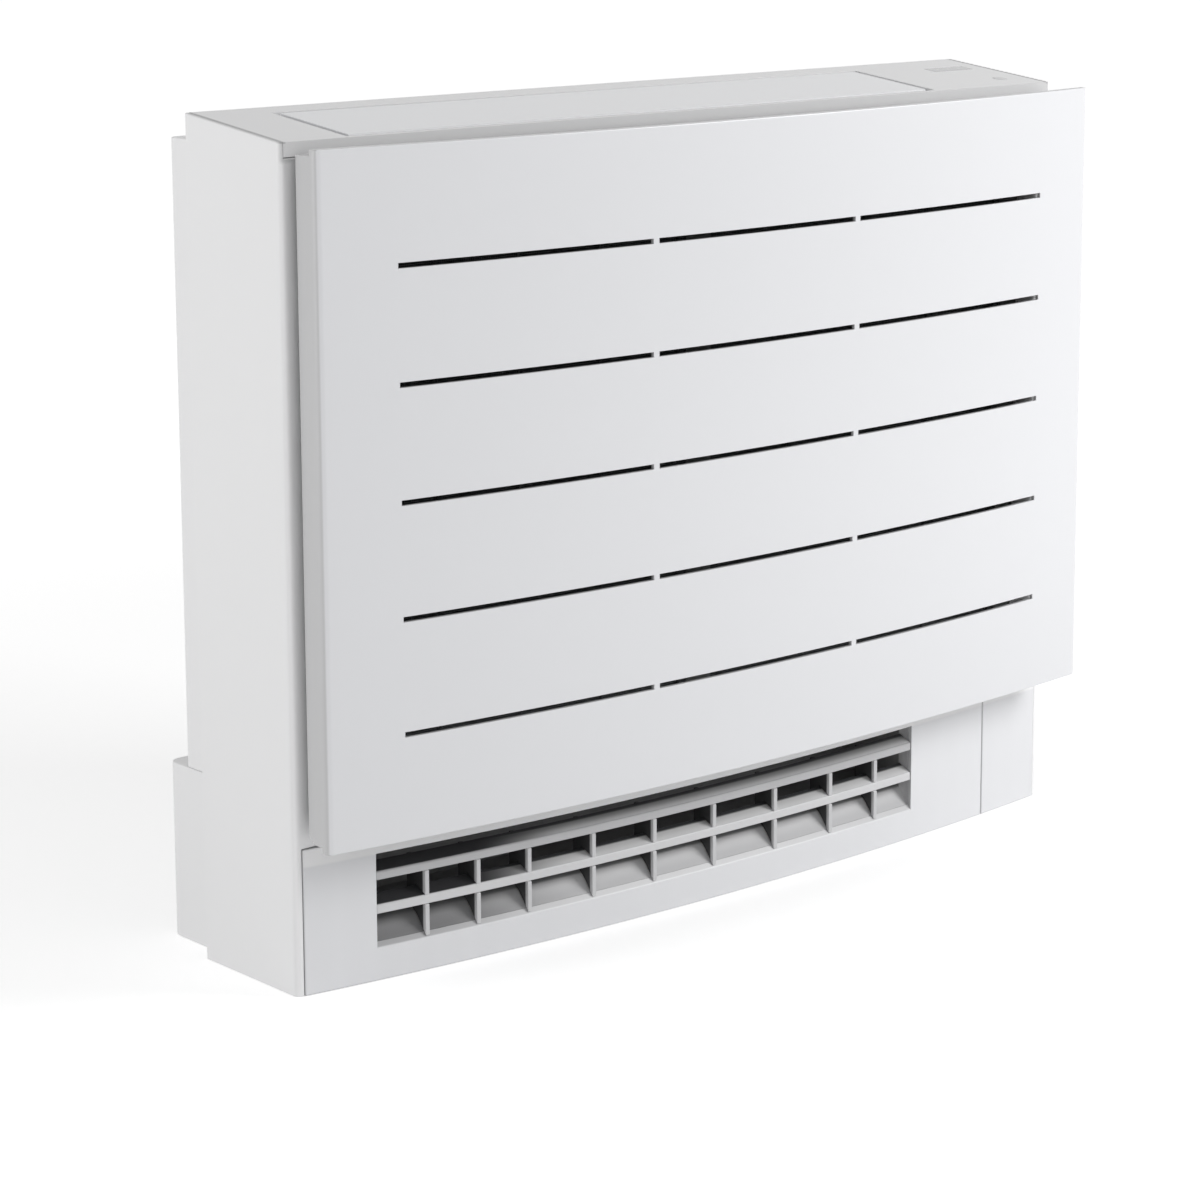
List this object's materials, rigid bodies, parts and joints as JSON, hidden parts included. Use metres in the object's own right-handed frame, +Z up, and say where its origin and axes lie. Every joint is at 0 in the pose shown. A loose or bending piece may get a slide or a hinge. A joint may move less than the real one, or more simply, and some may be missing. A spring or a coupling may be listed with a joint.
{
  "type": "floor standing air conditioner indoor unit",
  "caption": "White floor standing indoor air conditioner with a bowed slotted front panel that tilts forward, a lower air outlet with guide ribs and a hinged flap over an upper outlet.",
  "frame": {"origin": "centre of the bounding box in plan, on the floor", "axes": "+Z up, the front faces -Y, +X to the right of someone who faces the front"},
  "size_m": [0.75, 0.238, 0.6],
  "materials": {
    "body_white": "satin moulded plastic",
    "panel_white": "smooth semi-gloss moulded plastic",
    "light_grey": "satin moulded plastic",
    "dark_grey": "dark moulded plastic",
    "filter_grey": "fine woven plastic mesh"
  },
  "bodies": {
    "unit": {"bottom_plate": "light_grey", "control_display": "dark_grey", "intake_frame": "light_grey", "left_air_filter": "filter_grey", "left_hinge_bracket": "body_white", "left_panel_latch": "light_grey", "left_pipe_cover": "body_white", "left_side_cover": "body_white", "lower_corner_cover": "panel_white", "lower_front_cover": "panel_white", "operation_button": "light_grey", "outlet_bar_lower": "body_white", "outlet_bar_upper": "body_white", "outlet_duct": "light_grey", "outlet_rib_1": "body_white", "outlet_rib_2": "body_white", "outlet_rib_3": "body_white", "outlet_rib_4": "body_white", "outlet_rib_5": "body_white", "outlet_rib_6": "body_white", "outlet_rib_7": "body_white", "outlet_rib_8": "body_white", "outlet_rib_9": "body_white", "rear_chassis": "body_white", "rear_foot": "body_white", "right_air_filter": "filter_grey", "right_hinge_bracket": "body_white", "right_panel_latch": "light_grey", "right_pipe_cover": "body_white", "right_side_cover": "body_white", "top_cover": "body_white", "upper_outlet": "dark_grey", "upper_vane_1": "dark_grey", "upper_vane_2": "dark_grey", "upper_vane_3": "dark_grey", "upper_vane_4": "dark_grey", "upper_vane_5": "dark_grey", "upper_vane_6": "dark_grey", "upper_vane_7": "dark_grey", "upper_vane_8": "dark_grey"},
    "panel": {"front_panel": "panel_white"},
    "flap": {"top_flap": "panel_white"}
  },
  "joints": [
    {"name": "front_panel_tilt", "type": "hinge", "parent": "unit", "child": "panel", "pos_m": [0, -0.0675, 0.118], "axis": [1, 0, 0], "range_deg": [0, 35]},
    {"name": "top_flap_hinge", "type": "hinge", "parent": "unit", "child": "flap", "pos_m": [0, 0.03065, 0.59427], "axis": [-1, 0, 0], "range_deg": [0, 70]}
  ]
}
